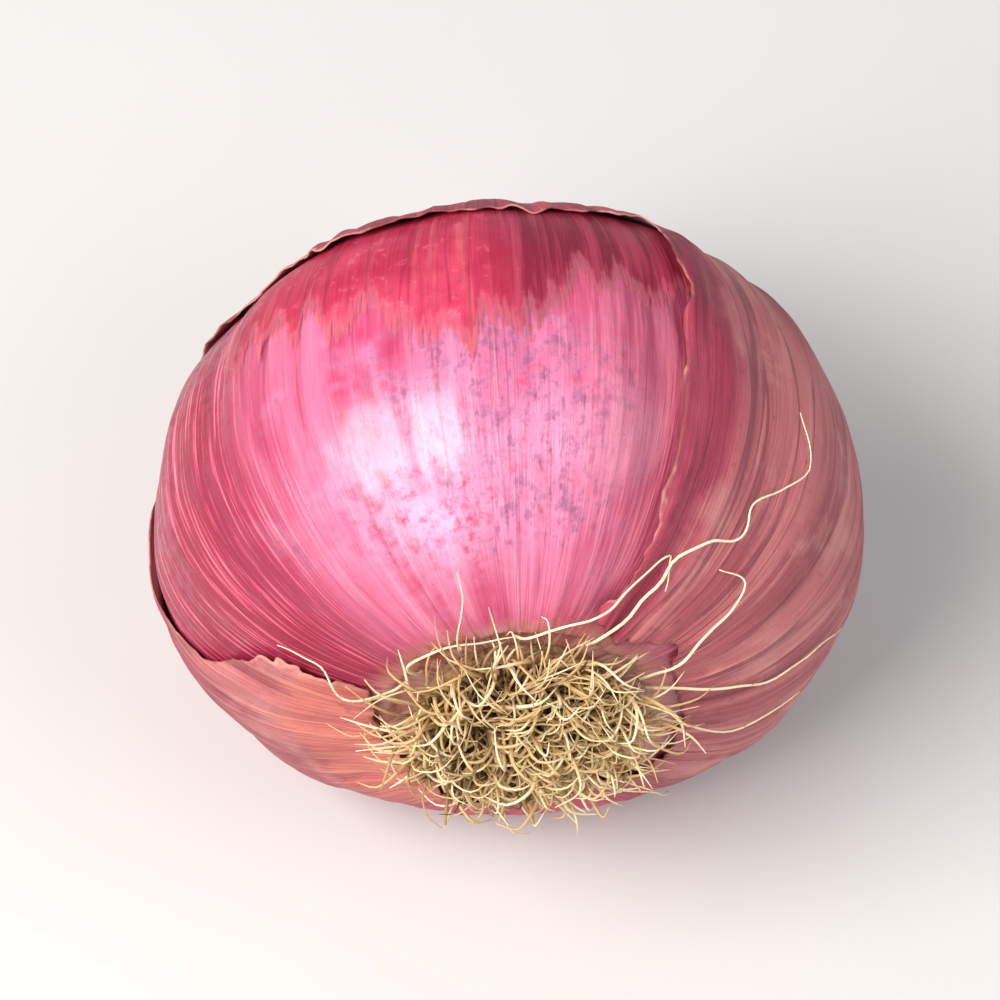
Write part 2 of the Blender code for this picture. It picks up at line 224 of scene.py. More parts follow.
# The camera: the azimuth and elevation that it looks from, in degrees, and the rest
CAMERA_FROM = (-7, 56)
CAMERA_DISTANCE = 0.49
CAMERA_AIMS_AT = Vector((0.0, -0.003, 0.030))
CAMERA_ROLL = math.radians(5)
CAMERA_LENS = 190  # millimetres
CAMERA_WIDTH = 36
CAMERA_NEAREST = 0.01


def colour(red, green, blue):
    """A colour as seen on a screen, from 0 to 255, in Blender's linear values."""
    shares = (value / 255 for value in (red, green, blue))
    return (*(s / 12.92 if s <= 0.04045 else ((s + 0.055) / 1.055) ** 2.4 for s in shares), 1)


class Wire:
    """The output of a shader node. Sums and products of wires and numbers add Math nodes."""

    def __init__(self, finish, socket):
        self.finish = finish
        self.socket = socket

    def math(self, operation, first, second):
        return self.finish.node("ShaderNodeMath", {"operation": operation}, {0: first, 1: second})

    def __add__(self, other):
        return self.math("ADD", self, other)

    __radd__ = __add__

    def __sub__(self, other):
        return self.math("SUBTRACT", self, other)

    def __rsub__(self, other):
        return self.math("SUBTRACT", other, self)

    def __mul__(self, other):
        return self.math("MULTIPLY", self, other)

    __rmul__ = __mul__

    def __abs__(self):
        return self.math("ABSOLUTE", self, 0)


class Finish:
    """A material in the making, with the patterns that an onion's dry parts share."""

    def __init__(self, name, **sockets):
        self.material = bpy.data.materials.new(name)
        self.material.use_nodes = True
        self.tree = self.material.node_tree
        self.shader = self.tree.nodes["Principled BSDF"]
        for key, value in sockets.items():
            self.shader.inputs[key.replace("_", " ")].default_value = value
        self.place = self.node("ShaderNodeTexCoord", {}, {}, "Object")

    def node(self, kind, settings, inputs, output=0):
        """A new node's output. Its settings go in first, then the values or wires of its sockets."""
        node = self.tree.nodes.new(kind)
        for key, value in settings.items():
            setattr(node, key, value)
        for key, value in inputs.items():
            self.connect(node.inputs[key], value)
        return Wire(self, node.outputs[output])

    def connect(self, socket, value):
        if isinstance(value, Wire):
            self.tree.links.new(value.socket, socket)
        else:
            socket.default_value = value

    def kept(self, name):
        """A number kept on the piece's vertices."""
        return self.node("ShaderNodeAttribute", {"attribute_name": name}, {}, "Fac")

    def noise(self, vector, scale, detail=2, roughness=0.5):
        values = {"Vector": vector, "Scale": scale, "Detail": detail, "Roughness": roughness}
        return self.node("ShaderNodeTexNoise", {}, values)

    def grain(self, size, detail=2, roughness=0.5):
        """Noise that is alike in every direction, with features of about this size."""
        return self.noise(self.place, 1 / size, detail, roughness)

    def streaks(self, around, along, detail=2, roughness=0.5):
        """Noise drawn out from the roots to the neck: around is per radian, along is per 100 mm."""
        turned = self.node("ShaderNodeAttribute", {"attribute_name": "turned"}, {}, "Vector")
        drawn = self.node(
            "ShaderNodeVectorMath", {"operation": "MULTIPLY"}, {0: turned, 1: (around, around, along)}
        )
        return self.noise(drawn, 1, detail, roughness)

    def veins(self, around, half_width):
        """1 on thin winding lines from the roots to the neck, and 0 between them."""
        return self.between(abs(self.streaks(around, 1.5, 2) - 0.5), half_width, 0.3 * half_width)

    def between(self, value, low, high):
        """0 below low and 1 above high, with a soft step between. It falls where low is above high."""
        values = {"Value": value, "From Min": low, "From Max": high}
        return self.node("ShaderNodeMapRange", {"interpolation_type": "SMOOTHSTEP"}, values)

    def blend(self, share, first, second):
        """The first colour, turning into the second as the share goes from 0 to 1."""
        return self.node("ShaderNodeMix", {"data_type": "RGBA"}, {0: share, 6: first, 7: second}, 2)

    def surface(self, colour, roughness, height, depth):
        """Gives the material its colour and roughness, and a relief whose full height is this depth."""
        self.connect(self.shader.inputs["Base Color"], colour)
        self.connect(self.shader.inputs["Roughness"], roughness)
        bump = self.node("ShaderNodeBump", {}, {"Height": height, "Distance": depth})
        self.connect(self.shader.inputs["Normal"], bump)
        return self.material


def glossy_skin():
    """The bared skin: glossy pink, streaked from the roots to the neck, mottled with greyish lilac,
    with a painted highlight and painted shade on its left side.
    """
    f = Finish("glossy pink skin", Coat_Roughness=0.24, Specular_IOR_Level=0.35, Subsurface_Weight=0.08)
    f.shader.inputs["Subsurface Radius"].default_value = (0.003, 0.001, 0.0012)
    bands = f.streaks(5, 3, 2)
    streaks = f.streaks(26, 6, 3, 0.6)
    lines = f.streaks(85, 9, 3, 0.6)
    patches = f.grain(9 * MM, 3, 0.6)
    mottle = f.grain(1.6 * MM, 4, 0.7)
    specks = f.streaks(40, 55, 3, 0.6)
    flecks = f.grain(0.55 * MM, 2)
    way = f.kept("way")

    tone = f.blend(f.between(bands, 0.36, 0.64), colour(194, 60, 104), colour(220, 108, 144))
    tone = f.blend(f.between(streaks, 0.5, 0.72) * 0.5, tone, colour(232, 146, 174))
    tone = f.blend(f.between(streaks, 0.48, 0.3) * 0.45, tone, colour(160, 36, 80))
    tone = f.blend(f.between(patches, 0.48, 0.66) * 0.45, tone, colour(236, 154, 188))
    # Painted highlight: a pale pink patch at the pale spot, standing in for a second glare
    tone = f.blend(f.kept("pale") * f.between(mottle, 0.3, 0.6) * 0.75, tone, colour(248, 186, 216))
    lilac = f.between(patches + 0.45 * f.kept("mottled"), 0.5, 0.66)
    tone = f.blend(lilac * f.between(mottle, 0.3, 0.6) * 0.6, tone, colour(206, 128, 166))
    tone = f.blend(lilac * f.between(mottle, 0.46, 0.68) * 0.6, tone, colour(122, 66, 106))
    tone = f.blend(lilac * f.between(specks, 0.52, 0.72) * 0.55, tone, colour(96, 44, 80))
    # The left side: its own maroon with light streaks, made darker still as painted shade
    left = f.kept("left")
    side = f.blend(f.between(lines, 0.5, 0.66), colour(132, 16, 46), colour(222, 84, 110))
    tone = f.blend(left * 0.9, tone, side)
    tone = f.blend(f.veins(11, 0.02) * 0.3, tone, colour(132, 30, 68))
    tone = f.blend(f.between(lines, 0.6, 0.74) * 0.35, tone, colour(238, 160, 182))
    dull = f.blend(f.between(streaks, 0.4, 0.6), colour(152, 58, 86), colour(190, 94, 116))
    tone = f.blend(f.kept("right"), tone, dull)
    neck = f.between(way + 9 * (streaks - 0.5) + 6 * (patches - 0.5), 66, 78)
    tone = f.blend(neck, tone, colour(166, 106, 70))
    base = f.blend(f.between(streaks, 0.4, 0.62), colour(204, 122, 112), colour(240, 190, 176))
    tone = f.blend(f.between(way + 8 * (streaks - 0.5), 15, 11.5), tone, base)
    fleck = f.between(flecks, 0.76, 0.8) * f.between(patches, 0.45, 0.55)
    tone = f.blend(fleck, tone, colour(58, 26, 34))
    f.connect(f.shader.inputs["Coat Weight"], 0.75 * (1 - 0.85 * left) * (1 - neck))
    roughness = 0.28 + 0.22 * f.between(mottle, 0.4, 0.65) + 0.1 * streaks
    height = 0.55 * streaks + 0.35 * lines + 0.3 * mottle
    return f.surface(tone, roughness, height, 0.35 * MM)


def papery_scale():
    """The dry outer scale: maroon with dark veins, faded on the right, tan where it is driest."""
    f = Finish("papery outer scale", Subsurface_Weight=0.06)
    f.shader.inputs["Subsurface Radius"].default_value = (0.003, 0.0015, 0.001)
    bands = f.streaks(6, 3, 3)
    streaks = f.streaks(30, 6, 4, 0.6)
    lines = f.streaks(90, 10, 3, 0.6)
    patches = f.grain(8 * MM, 4, 0.6)
    mottle = f.grain(1.4 * MM, 4, 0.7)
    flecks = f.grain(0.5 * MM, 2)
    edge = f.kept("edge")

    tone = f.blend(f.between(bands, 0.38, 0.62), colour(150, 38, 66), colour(196, 72, 98))
    tone = f.blend(f.between(patches, 0.5, 0.68) * 0.5, tone, colour(188, 84, 102))
    tone = f.blend(f.between(streaks, 0.52, 0.72) * 0.5, tone, colour(194, 106, 112))
    tone = f.blend(f.between(streaks, 0.46, 0.3) * 0.5, tone, colour(90, 24, 44))
    faded = f.blend(f.between(bands, 0.38, 0.62), colour(160, 74, 82), colour(190, 106, 108))
    faded = f.blend(f.between(patches, 0.5, 0.68) * 0.7, faded, colour(200, 134, 130))
    faded = f.blend(f.between(streaks, 0.52, 0.72) * 0.6, faded, colour(212, 146, 136))
    faded = f.blend(f.between(streaks, 0.46, 0.3) * 0.45, faded, colour(122, 54, 66))
    tone = f.blend(f.between(f.kept("right") + 0.6 * (patches - 0.5), 0.2, 0.8), tone, faded)
    tone = f.blend(f.veins(8, 0.018) * 0.5, tone, colour(78, 26, 42))
    dry = f.blend(f.between(streaks, 0.36, 0.64), colour(166, 98, 68), colour(226, 168, 126))
    dry = f.blend(f.between(bands, 0.5, 0.62) * 0.4, dry, colour(204, 118, 104))
    dry = f.blend(f.between(f.kept("way"), 40, 30) * 0.6, dry, colour(202, 84, 96))
    dry = f.blend(f.between(lines, 0.55, 0.7) * 0.5, dry, colour(132, 66, 50))
    dried = f.kept("dried") + 0.4 * (patches - 0.5) + 1.6 * (streaks - 0.5)
    tone = f.blend(f.between(dried, 0.35, 0.75), tone, dry)
    tone = f.blend(f.between(mottle, 0.6, 0.74) * 0.4, tone, colour(84, 38, 50))
    rim = f.between(edge + 1.6 * (streaks - 0.5) + 1.2 * (mottle - 0.5), 0.5, 0)
    rim_tone = f.blend(f.between(patches, 0.42, 0.58), colour(120, 62, 56), colour(204, 150, 130))
    tone = f.blend(rim * 0.7, tone, rim_tone)
    tone = f.blend(f.between(flecks, 0.77, 0.81), tone, colour(50, 30, 28))
    roughness = 0.52 + 0.2 * mottle
    height = 0.6 * streaks + 0.4 * lines + 0.35 * mottle
    return f.surface(tone, roughness, height, 0.4 * MM)


def scale_back():
    """The inner side of a torn scale: pale pinkish lilac."""
    f = Finish("pale back of a scale")
    streaks = f.streaks(34, 6, 3, 0.6)
    tone = f.blend(f.between(streaks, 0.35, 0.65), colour(190, 118, 128), colour(232, 186, 182))
    tone = f.blend(f.between(f.kept("dried"), 0.3, 0.8), tone, colour(206, 160, 116))
    return f.surface(tone, 0.5, streaks, 0.25 * MM)


def coral_film():
    """A thin translucent film over the skin: coral red, with fine fibres, darkened on its left as
    painted shade.
    """
    f = Finish("coral film", Specular_IOR_Level=0.3, Subsurface_Weight=0.1)
    f.shader.inputs["Subsurface Radius"].default_value = (0.004, 0.001, 0.001)
    streaks = f.streaks(24, 5, 4, 0.6)
    lines = f.streaks(80, 9, 3, 0.6)
    patches = f.grain(10 * MM, 3, 0.6)
    mottle = f.grain(1.5 * MM, 4, 0.7)
    tone = f.blend(f.between(patches, 0.4, 0.62), colour(180, 34, 70), colour(202, 62, 92))
    tone = f.blend(f.between(streaks, 0.52, 0.72) * 0.4, tone, colour(220, 112, 118))
    tone = f.blend(f.between(lines, 0.56, 0.3) * 0.3, tone, colour(132, 26, 50))
    tone = f.blend(f.veins(9, 0.02) * 0.35, tone, colour(112, 22, 46))
    tone = f.blend(f.between(mottle, 0.56, 0.7) * 0.4, tone, colour(138, 50, 76))
    tone = f.blend(f.between(mottle, 0.44, 0.3) * 0.4, tone, colour(232, 122, 146))
    # Dull maroon: the film's own colour towards the right, painted shade towards the left
    dull = f.blend(f.between(streaks, 0.4, 0.62), colour(126, 24, 50), colour(170, 54, 80))
    dulled = f.kept("right") + f.kept("left") + 0.5 * (patches - 0.5)
    tone = f.blend(f.between(dulled, 0.25, 0.8), tone, dull)
    torn = f.kept("edge") + 7 * (streaks - 0.5) + 5 * (lines - 0.5) + 3 * (mottle - 0.5)
    tone = f.blend(f.between(torn, 5, 1.5) * 0.7, tone, colour(236, 132, 150))
    f.connect(f.shader.inputs["Alpha"], f.between(torn, 1, 4))
    return f.surface(tone, 0.42 + 0.15 * mottle, 0.6 * streaks + 0.4 * lines + 0.2 * mottle, 0.3 * MM)


def corky_plate():
    """The root plate: cork brown, crumbly."""
    f = Finish("corky root plate")
    crumbs = f.grain(0.7 * MM, 4, 0.7)
    patches = f.grain(3 * MM, 3)
    tone = f.blend(f.between(crumbs, 0.35, 0.65), colour(84, 56, 36), colour(166, 124, 82))
    tone = f.blend(f.between(patches, 0.5, 0.7) * 0.5, tone, colour(188, 150, 108))
    return f.surface(tone, 0.9, crumbs, 0.5 * MM)


def dried_root():
    """A dried root: from brown to straw and cream, as its tint says."""
    f = Finish("dried root", Subsurface_Weight=0.05)
    f.shader.inputs["Subsurface Radius"].default_value = (0.001, 0.0007, 0.0004)
    tint = f.kept("tint")
    fibres = f.grain(0.5 * MM, 3, 0.6)
    tone = f.blend(f.between(tint, 0.0, 0.5), colour(64, 40, 22), colour(214, 178, 120))
    tone = f.blend(f.between(tint, 0.5, 1.0), tone, colour(252, 238, 198))
    tone = f.blend(f.between(fibres, 0.54, 0.72) * 0.4, tone, colour(138, 100, 62))
    return f.surface(tone, 0.7, fibres, 0.12 * MM)


def pale_floor():
    f = Finish("pale floor")
    cloud = f.grain(60 * MM, 2)
    tone = f.blend(cloud, colour(203, 200, 197), colour(209, 206, 203))
    return f.surface(tone, 0.7, cloud, 0.02 * MM)


def curve_through(points, steps=24):
    """A smooth line through the points, with this many steps from each to the next."""
    ends = np.vstack([2 * points[0] - points[1], points, 2 * points[-1] - points[-2]])
    t = np.linspace(0, 1, steps, endpoint=False)[:, None]
    spans = [
        b + (c - a) * t / 2 + (a - 2.5 * b + 2 * c - d / 2) * t**2
        + (1.5 * (b - c) + (d - a) / 2) * t**3
        for a, b, c, d in zip(ends, ends[1:], ends[2:], ends[3:])
    ]  # fmt: skip
    return np.vstack([*spans, points[-1:]])


LINE = curve_through(OUTLINE)
WAYS = np.concatenate([[0], np.cumsum(np.linalg.norm(np.diff(LINE, axis=0), axis=1))])
NORMALS = np.gradient(LINE, axis=0)[:, ::-1] * (-1, 1)
NORMALS /= np.linalg.norm(NORMALS, axis=1)[:, None]
LAY_DOWN = (
    Matrix.Translation((AXIS_ASIDE, -WIDEST_BEFORE_MIDDLE, AXIS_HEIGHT))
    @ Matrix.Rotation(-TILT, 4, "X")
    @ Matrix.Translation((0, -WIDEST_AT, 0))
)


def outline(way):
    """Distance along the axis, radius, and the normal's two shares, at each way."""
    return [np.interp(way, WAYS, column) for column in (*LINE.T, *NORMALS.T)]


def smooth(value, low, high):
    """0 below low and 1 above high, with a soft step between."""
    share = np.clip((value - low) / (high - low), 0, 1)
    return share * share * (3 - 2 * share)


def turn_between(angle, middle):
    """The angle from the middle, between half a turn each way."""
    return (angle - middle + math.pi) % math.tau - math.pi


def waves(angle, terms):
    return sum(height * np.cos(n * angle + phase) for n, phase, height in terms)


def neck_bend(along):
    """How far the neck's bend moves what is this far along the axis."""
    share = np.maximum(along - NECK_FROM, 0) / (LINE[-1, 0] - NECK_FROM)
    return share[..., None] ** 2 * NECK_BEND


def skin(angle, way, lift=0.0):
    """The points of the bulb's skin at the angles and ways, raised by the lift."""
    along, radius, lean, out = outline(way)
    width = smooth(radius, 0, LOBES_FULL_AT)
    pleated = smooth(along, PLEATS_FROM, PLEATS_FULL_AT)
    pleats = sum(
        share * np.cos(n * angle + phase + along * PLEAT_TWIST) for n, phase, share in PLEATS
    )
    across = radius * (1 + waves(angle, LOBES) * width + pleats * pleated)
    across = across + waves(angle, RIBS) * width + out * lift
    points = np.stack((across * np.cos(angle), along + lean * lift, across * np.sin(angle)), axis=-1)
    return points + neck_bend(along)


def noise_at(points, size):
    return np.array([noise.noise(point) for point in points / size])


def drawn_noise(angle, way, around, along):
    """Noise drawn out from the roots to the neck, as the material's streaks are."""
    turned = np.stack((around * np.cos(angle), around * np.sin(angle), along * way / 0.1), axis=-1)
    return noise_at(turned, 1)


def drawn_relief(angle, way, terms):
    return sum(depth * drawn_noise(angle, way, around, along) for around, along, depth in terms)


def raggedness(angle, way):
    along, radius, _, _ = outline(way)
    spots = np.stack((radius * np.cos(angle), along * RAGGED_SQUEEZE, radius * np.sin(angle)), axis=-1)
    return sum(depth * noise_at(spots, size) for size, depth in RAGGED)


def outer_depth(angle, way):
    """How far inside the outer scale's torn edge each place is. Below zero the scale is gone."""
    radius = outline(way)[1]
    left = WINDOW_LEFT - STRIP_WIDTH * (1 - smooth(way, STRIP_NARROWS_FROM, STRIP_NARROWS_TO))
    half = (left - WINDOW_RIGHT) / 2
    across = (abs(turn_between(angle, left - half)) - half) * radius
    window = np.maximum(across, way - WINDOW_ENDS_AT)
    from_hole = np.hypot(
        turn_between(angle, HOLE_ANGLE) * radius / HOLE_HALF_WIDTH,
        (way - HOLE_WAY) / HOLE_HALF_LENGTH,
    )
    hole = (from_hole - 1) * HOLE_HALF_WIDTH
    tongue = ROOT_TONGUE * np.exp(-((turn_between(angle, ROOT_TONGUE_ANGLE) / ROOT_TONGUE_HALF) ** 2))
    inside = np.minimum.reduce([window, hole, way - ROOT_EDGE_WAY + tongue]) + raggedness(angle, way)
    return np.minimum(inside, NECK_EDGE_WAY + waves(angle, NECK_TEETH) - way)


def outer_lift(angle, way):
    """How far the outer scale stands off the skin: little, but for its curled edges and flared tips."""
    radius = outline(way)[1]
    near_edge = 1 - smooth(outer_depth(angle, way), 0, CURL_REACH)
    curl = 0
    for turn, at, half, height in CURLS:
        across = turn_between(angle, math.radians(turn)) * radius
        curl = curl + height * np.exp(-((way - at) ** 2 + across**2) / half**2)
    crinkle = drawn_relief(angle, way, CRINKLES) + near_edge * drawn_relief(angle, way, EDGE_CRINKLE)
    flare = NECK_FLARE * smooth(way, NECK_FLARE_FROM, NECK_FLARE_FULL_AT)
    flare = flare * (1 - FLARE_LOST_ON_TOP * smooth(np.sin(angle), 0, 0.7))
    return OUTER_LIFT + curl * near_edge**2 + crinkle + flare


def film_depth(angle, way):
    """How far inside the thin film's torn edge each place is."""
    radius = outline(way)[1]
    tongue = FILM_TONGUE_LENGTH * np.exp(-((turn_between(angle, FILM_TONGUE) / FILM_TONGUE_HALF) ** 2))
    lower = way - FILM_EDGE_WAY + tongue + drawn_relief(angle, way, FILM_FIBRES)
    half = (FILM_LEFT - FILM_RIGHT) / 2
    side = (half - abs(turn_between(angle, FILM_LEFT - half))) * radius
    inside = np.minimum.reduce([lower, side, FILM_END_WAY - way])
    return inside + FILM_RAGGEDNESS * raggedness(angle + 1, way)


def film_lift(angle, way):
    near_edge = 1 - smooth(film_depth(angle, way), 0, FILM_EDGE_REACH)
    return FILM_LIFT + drawn_relief(angle, way, FILM_RIPPLES) - FILM_EDGE_SINKS * near_edge


def ball_places(bm):
    """The angle and way that each vertex of a ball stands for."""
    points = np.array([v.co for v in bm.verts])
    angle = np.arctan2(points[:, 1], points[:, 0])
    way = np.arccos(np.clip(-points[:, 2], -1, 1)) / math.pi * WAYS[-1]
    return angle, way


def turned_grid(segments, rings, depth=None):
    """A ball as a bmesh, whose vertices each hold the angle and way that they stand for.

    Its faces are finer along the torn edge of this depth.
    """
    bm = bmesh.new()
    bmesh.ops.create_uvsphere(bm, u_segments=segments, v_segments=rings, radius=1)
    if depth:
        near = abs(depth(*ball_places(bm))) < FINE_BAND
        bm.verts.index_update()
        faces = [f for f in bm.faces if any(near[v.index] for v in f.verts)]
        edges = list({edge for f in faces for edge in f.edges})
        bmesh.ops.subdivide_edges(bm, edges=edges, cuts=1, use_grid_fill=True)
        for v in bm.verts:
            v.co.normalize()
    layers = [bm.verts.layers.float.new(name) for name in ("angle", "way")]
    for v, *place in zip(bm.verts, *ball_places(bm)):
        for layer, value in zip(layers, place):
            v[layer] = value
    return bm


def read(items, key, size=1):
    """One value, or a vector, of each item as an array."""
    values = np.empty(len(items) * size)
    items.foreach_get(key, values)
    return values if size == 1 else values.reshape(-1, size)


def keep(mesh, name, values, kind="FLOAT"):
    """Keeps a value or vector on each vertex, for the material to read."""
    if name not in mesh.attributes:
        mesh.attributes.new(name, kind, "POINT")
    key = "vector" if kind == "FLOAT_VECTOR" else "value"
    mesh.attributes[name].data.foreach_set(key, np.asarray(values, dtype=np.float32).ravel())


def lay_down(mesh, resting=0.0):
    """Lays a mesh from the bulb's own frame on the floor, flattened where it would go below resting."""
    mesh.transform(LAY_DOWN)
    points = read(mesh.vertices, "co", 3)
    points[:, 2] = np.maximum(points[:, 2], resting)
    mesh.vertices.foreach_set("co", points.ravel())
    mesh.update()


def face_outwards(bm):
    """Turns the faces of a closed shape outwards."""
    bmesh.ops.recalc_face_normals(bm, faces=bm.faces)
    if bm.calc_volume(signed=True) < 0:
        bmesh.ops.reverse_faces(bm, faces=bm.faces)


def new_piece(name, bm, materials, node):
    """A piece of the onion, made from a bmesh in the bulb's own frame."""
    mesh = bpy.data.meshes.new(name)
    bm.to_mesh(mesh)
    bm.free()
    piece = bpy.data.objects.new(name, mesh)
    bpy.context.scene.collection.objects.link(piece)
    for material in materials:
        mesh.materials.append(material)
    mesh.shade_smooth()
    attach(piece, "root")
    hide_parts(node)
    return piece


def keep_places(mesh, angle, way):
    """Keeps what the materials of turned pieces read: the way in millimetres, and the turned place."""
    keep(mesh, "way", way / MM)
    turned = np.stack((np.cos(angle), np.sin(angle), way / 0.1), axis=-1)
    keep(mesh, "turned", turned, "FLOAT_VECTOR")


def spot(angle, way, turn, at, half_turn, half_way):
    """1 in the middle of a soft round spot on the skin, and 0 far from it."""
    across = turn_between(angle, math.radians(turn)) / math.radians(half_turn)
    return np.exp(-(across**2) - ((way - at) / half_way) ** 2)


def places(mesh):
    """The angle and way that each vertex of a turned piece stands for."""
    return [read(mesh.attributes[name].data, "value") for name in ("angle", "way")]


def make_skin(material):
    """The bulb's own skin, closed all round. It shows through the window and the hole."""
    bm = turned_grid(*SKIN_GRID)
    piece = new_piece("glossy_skin", bm, [material], "bulb")
    mesh = piece.data
    angle, way = places(mesh)
    ripple = drawn_relief(angle, way, SKIN_RIPPLES) * smooth(way, RIPPLES_FROM, RIPPLES_FULL_AT)
    mesh.vertices.foreach_set("co", skin(angle, way, ripple).ravel())
    keep_places(mesh, angle, way)
    # Towards the left side, where the colour is darkened as painted shade
    keep(mesh, "left", smooth(-np.cos(angle), 0.58, 0.92))
    keep(mesh, "right", smooth(np.cos(angle), 0.05, 0.45))
    keep(mesh, "mottled", spot(angle, way, *MOTTLED_SPOT))
    # Where the painted highlight goes on the skin
    keep(mesh, "pale", spot(angle, way, *PAINTED_HIGHLIGHT_SPOT))
    bm = bmesh.new()
    bm.from_mesh(mesh)
    face_outwards(bm)
    bm.to_mesh(mesh)
    bm.free()
    lay_down(mesh, SKIN_RESTS_AT)
    return piece


def cut_to_edge(bm, depth):
    """Removes the faces outside a torn edge, and moves the rim onto it by small steps."""
    angle = bm.verts.layers.float["angle"]
    way = bm.verts.layers.float["way"]
    depths = depth(*[np.array([v[layer] for v in bm.verts]) for layer in (angle, way)])
    bm.verts.index_update()
    gone = [f for f in bm.faces if sum(depths[v.index] for v in f.verts) < 0]
    bmesh.ops.delete(bm, geom=gone, context="FACES")
    drop_small_pieces(bm, SMALLEST_SHEET)
    rim = [v for v in bm.verts if v.is_boundary]
    angles, ways = (np.array([v[layer] for v in rim]) for layer in (angle, way))
    for _ in range(4):
        radius = np.maximum(outline(ways)[1], MM)
        here = depth(angles, ways)
        across = (depth(angles + RIM_STEP / radius, ways) - here) / RIM_STEP
        along = (depth(angles, ways + RIM_STEP) - here) / RIM_STEP
        pull = np.clip(here, -RIM_PULL, RIM_PULL) / np.maximum(across**2 + along**2, 0.5)
        angles = angles - pull * across / radius
        ways = ways - pull * along
    for v, turn, at in zip(rim, angles, ways):
        v[angle] = turn
        v[way] = at


def drop_small_pieces(bm, fewest):
    """Removes the faces that hang together with fewer than this many others."""
    left = set(bm.faces)
    small = []
    while left:
        piece, front = [], [left.pop()]
        while front:
            face = front.pop()
            piece.append(face)
            near = {other for edge in face.edges for other in edge.link_faces} & left
            left -= near
            front.extend(near)
        if len(piece) < fewest:
            small.extend(piece)
    bmesh.ops.delete(bm, geom=small, context="FACES")


def make_sheet(name, depth, lift, wall, materials, resting, dull):
    """A thin torn sheet over the skin. Its second material is on its inner side."""
    bm = turned_grid(*SHEET_GRID, depth)
    cut_to_edge(bm, depth)
    bmesh.ops.reverse_faces(bm, faces=bm.faces)
    piece = new_piece(name, bm, materials, "bulb")
    mesh = piece.data
    angle, way = places(mesh)
    mesh.vertices.foreach_set("co", skin(angle, way, lift(angle, way)).ravel())
    keep_places(mesh, angle, way)
    keep(mesh, "edge", depth(angle, way) / MM)
    from_strip = abs(turn_between(angle, STRIP_MIDDLE))
    dry_strip = (1 - smooth(from_strip, *STRIP_DRY_TURN)) * (1 - smooth(way, *STRIP_DRY_WAY))
    keep(mesh, "dried", np.maximum(dry_strip, smooth(way, *DRY_NECK)))
    # Towards the left side, read by the film as painted shade
    keep(mesh, "left", smooth(-np.cos(angle), 0.6, 0.9))
    dull_strip = (1 - smooth(from_strip, *STRIP_DULL_TURN)) * (1 - smooth(way, *STRIP_DULL_WAY))
    keep(mesh, "right", np.maximum(smooth(np.cos(angle), *dull), STRIP_DULLNESS * dull_strip))
    lay_down(mesh, resting)
    sheet = piece.modifiers.new("Sheet", "SOLIDIFY")
    sheet.thickness = wall
    sheet.offset = -1
    sheet.material_offset = 1
    return piece


def make_neck_tips(materials):
    """The dried tips of the inner leaves, which stand out of the neck."""
    rng = random.Random(3)
    tips = bmesh.new()
    for i in range(TIP_COUNT):
        turn = i * math.tau / TIP_COUNT + rng.uniform(-0.3, 0.3)
        out = rng.uniform(*TIP_PLACES)
        length = rng.uniform(*TIP_LENGTHS)
        half_width = rng.uniform(*TIP_HALF_WIDTHS)
        splay = rng.uniform(*TIP_SPLAYS)
        twist = rng.uniform(*TIP_TWISTS)
        bm = bmesh.new()
        bmesh.ops.create_grid(bm, x_segments=TIP_GRID[0], y_segments=TIP_GRID[1], size=1)
        for v in bm.verts:
            u, t = v.co.x, (v.co.y + 1) / 2
            along = TIP_FOOT + t * length
            narrow = half_width * (1 - t**TIP_NARROWING) + TIP_END_HALF_WIDTH
            cup = narrow * (0.5 - u * u) * TIP_CUP
            crumple = TIP_CRUMPLE * noise.noise((u * 2 + i, t * 5, 0))
            radius = out + splay * length * t**2 + cup + crumple
            around = turn + twist * t * t + u * narrow / max(out, 2 * MM)
            v.co = (radius * math.cos(around), along, radius * math.sin(around))
            v.co += Vector(neck_bend(np.array(along)))
        tip = bpy.data.meshes.new("tip")
        bm.to_mesh(tip)
        bm.free()
        add_mesh(tips, tip)
    piece = new_piece("neck_tips", tips, materials, "bulb")
    mesh = piece.data
    points = read(mesh.vertices, "co", 3)
    angle = np.arctan2(points[:, 2], points[:, 0])
    keep_places(mesh, angle, points[:, 1])
    keep(mesh, "edge", np.full(len(points), 5.0))
    keep(mesh, "dried", np.full(len(points), 1.2))
    lay_down(mesh)
    sheet = piece.modifiers.new("Sheet", "SOLIDIFY")
    sheet.thickness = TIP_WALL
    sheet.offset = 0
    return piece


def make_plate(material):
    """The corky root plate: a flattened ball with a crumbly domed face and rings of old root scars."""
    bm = bmesh.new()
    segments, rings = PLATE_GRID
    bmesh.ops.create_uvsphere(bm, u_segments=segments, v_segments=rings, radius=1)
    for v in bm.verts:
        share = math.hypot(v.co.x, v.co.y)
        turn = math.atan2(v.co.y, v.co.x)
        x, z = (PLATE_RADIUS * share * f(turn) for f in (math.cos, math.sin))
        from_rim = 1 - share
        if v.co.z < 0:
            coarse, fine = CRUMB_SIZES
            crumbs = noise.noise((x / coarse, z / coarse, 0))
            crumbs += 0.5 * noise.noise((x / fine, z / fine, 3))
            scars = PLATE_SCARS * math.cos(share * SCARS_TURN)
            rise = (1 - share**2) * PLATE_DOME + PLATE_CRUMBS * crumbs + scars
            y = PLATE_FACE * min(1, from_rim * RIM_STEEPNESS) - rise * min(1, from_rim * FACE_STEEPNESS)
        else:
            y = PLATE_BACK * min(1, from_rim * RIM_STEEPNESS)
        v.co = (x, y, z)
    face_outwards(bm)
    piece = new_piece("root_plate", bm, [material], "root_tuft")
    lay_down(piece.data)
    return piece


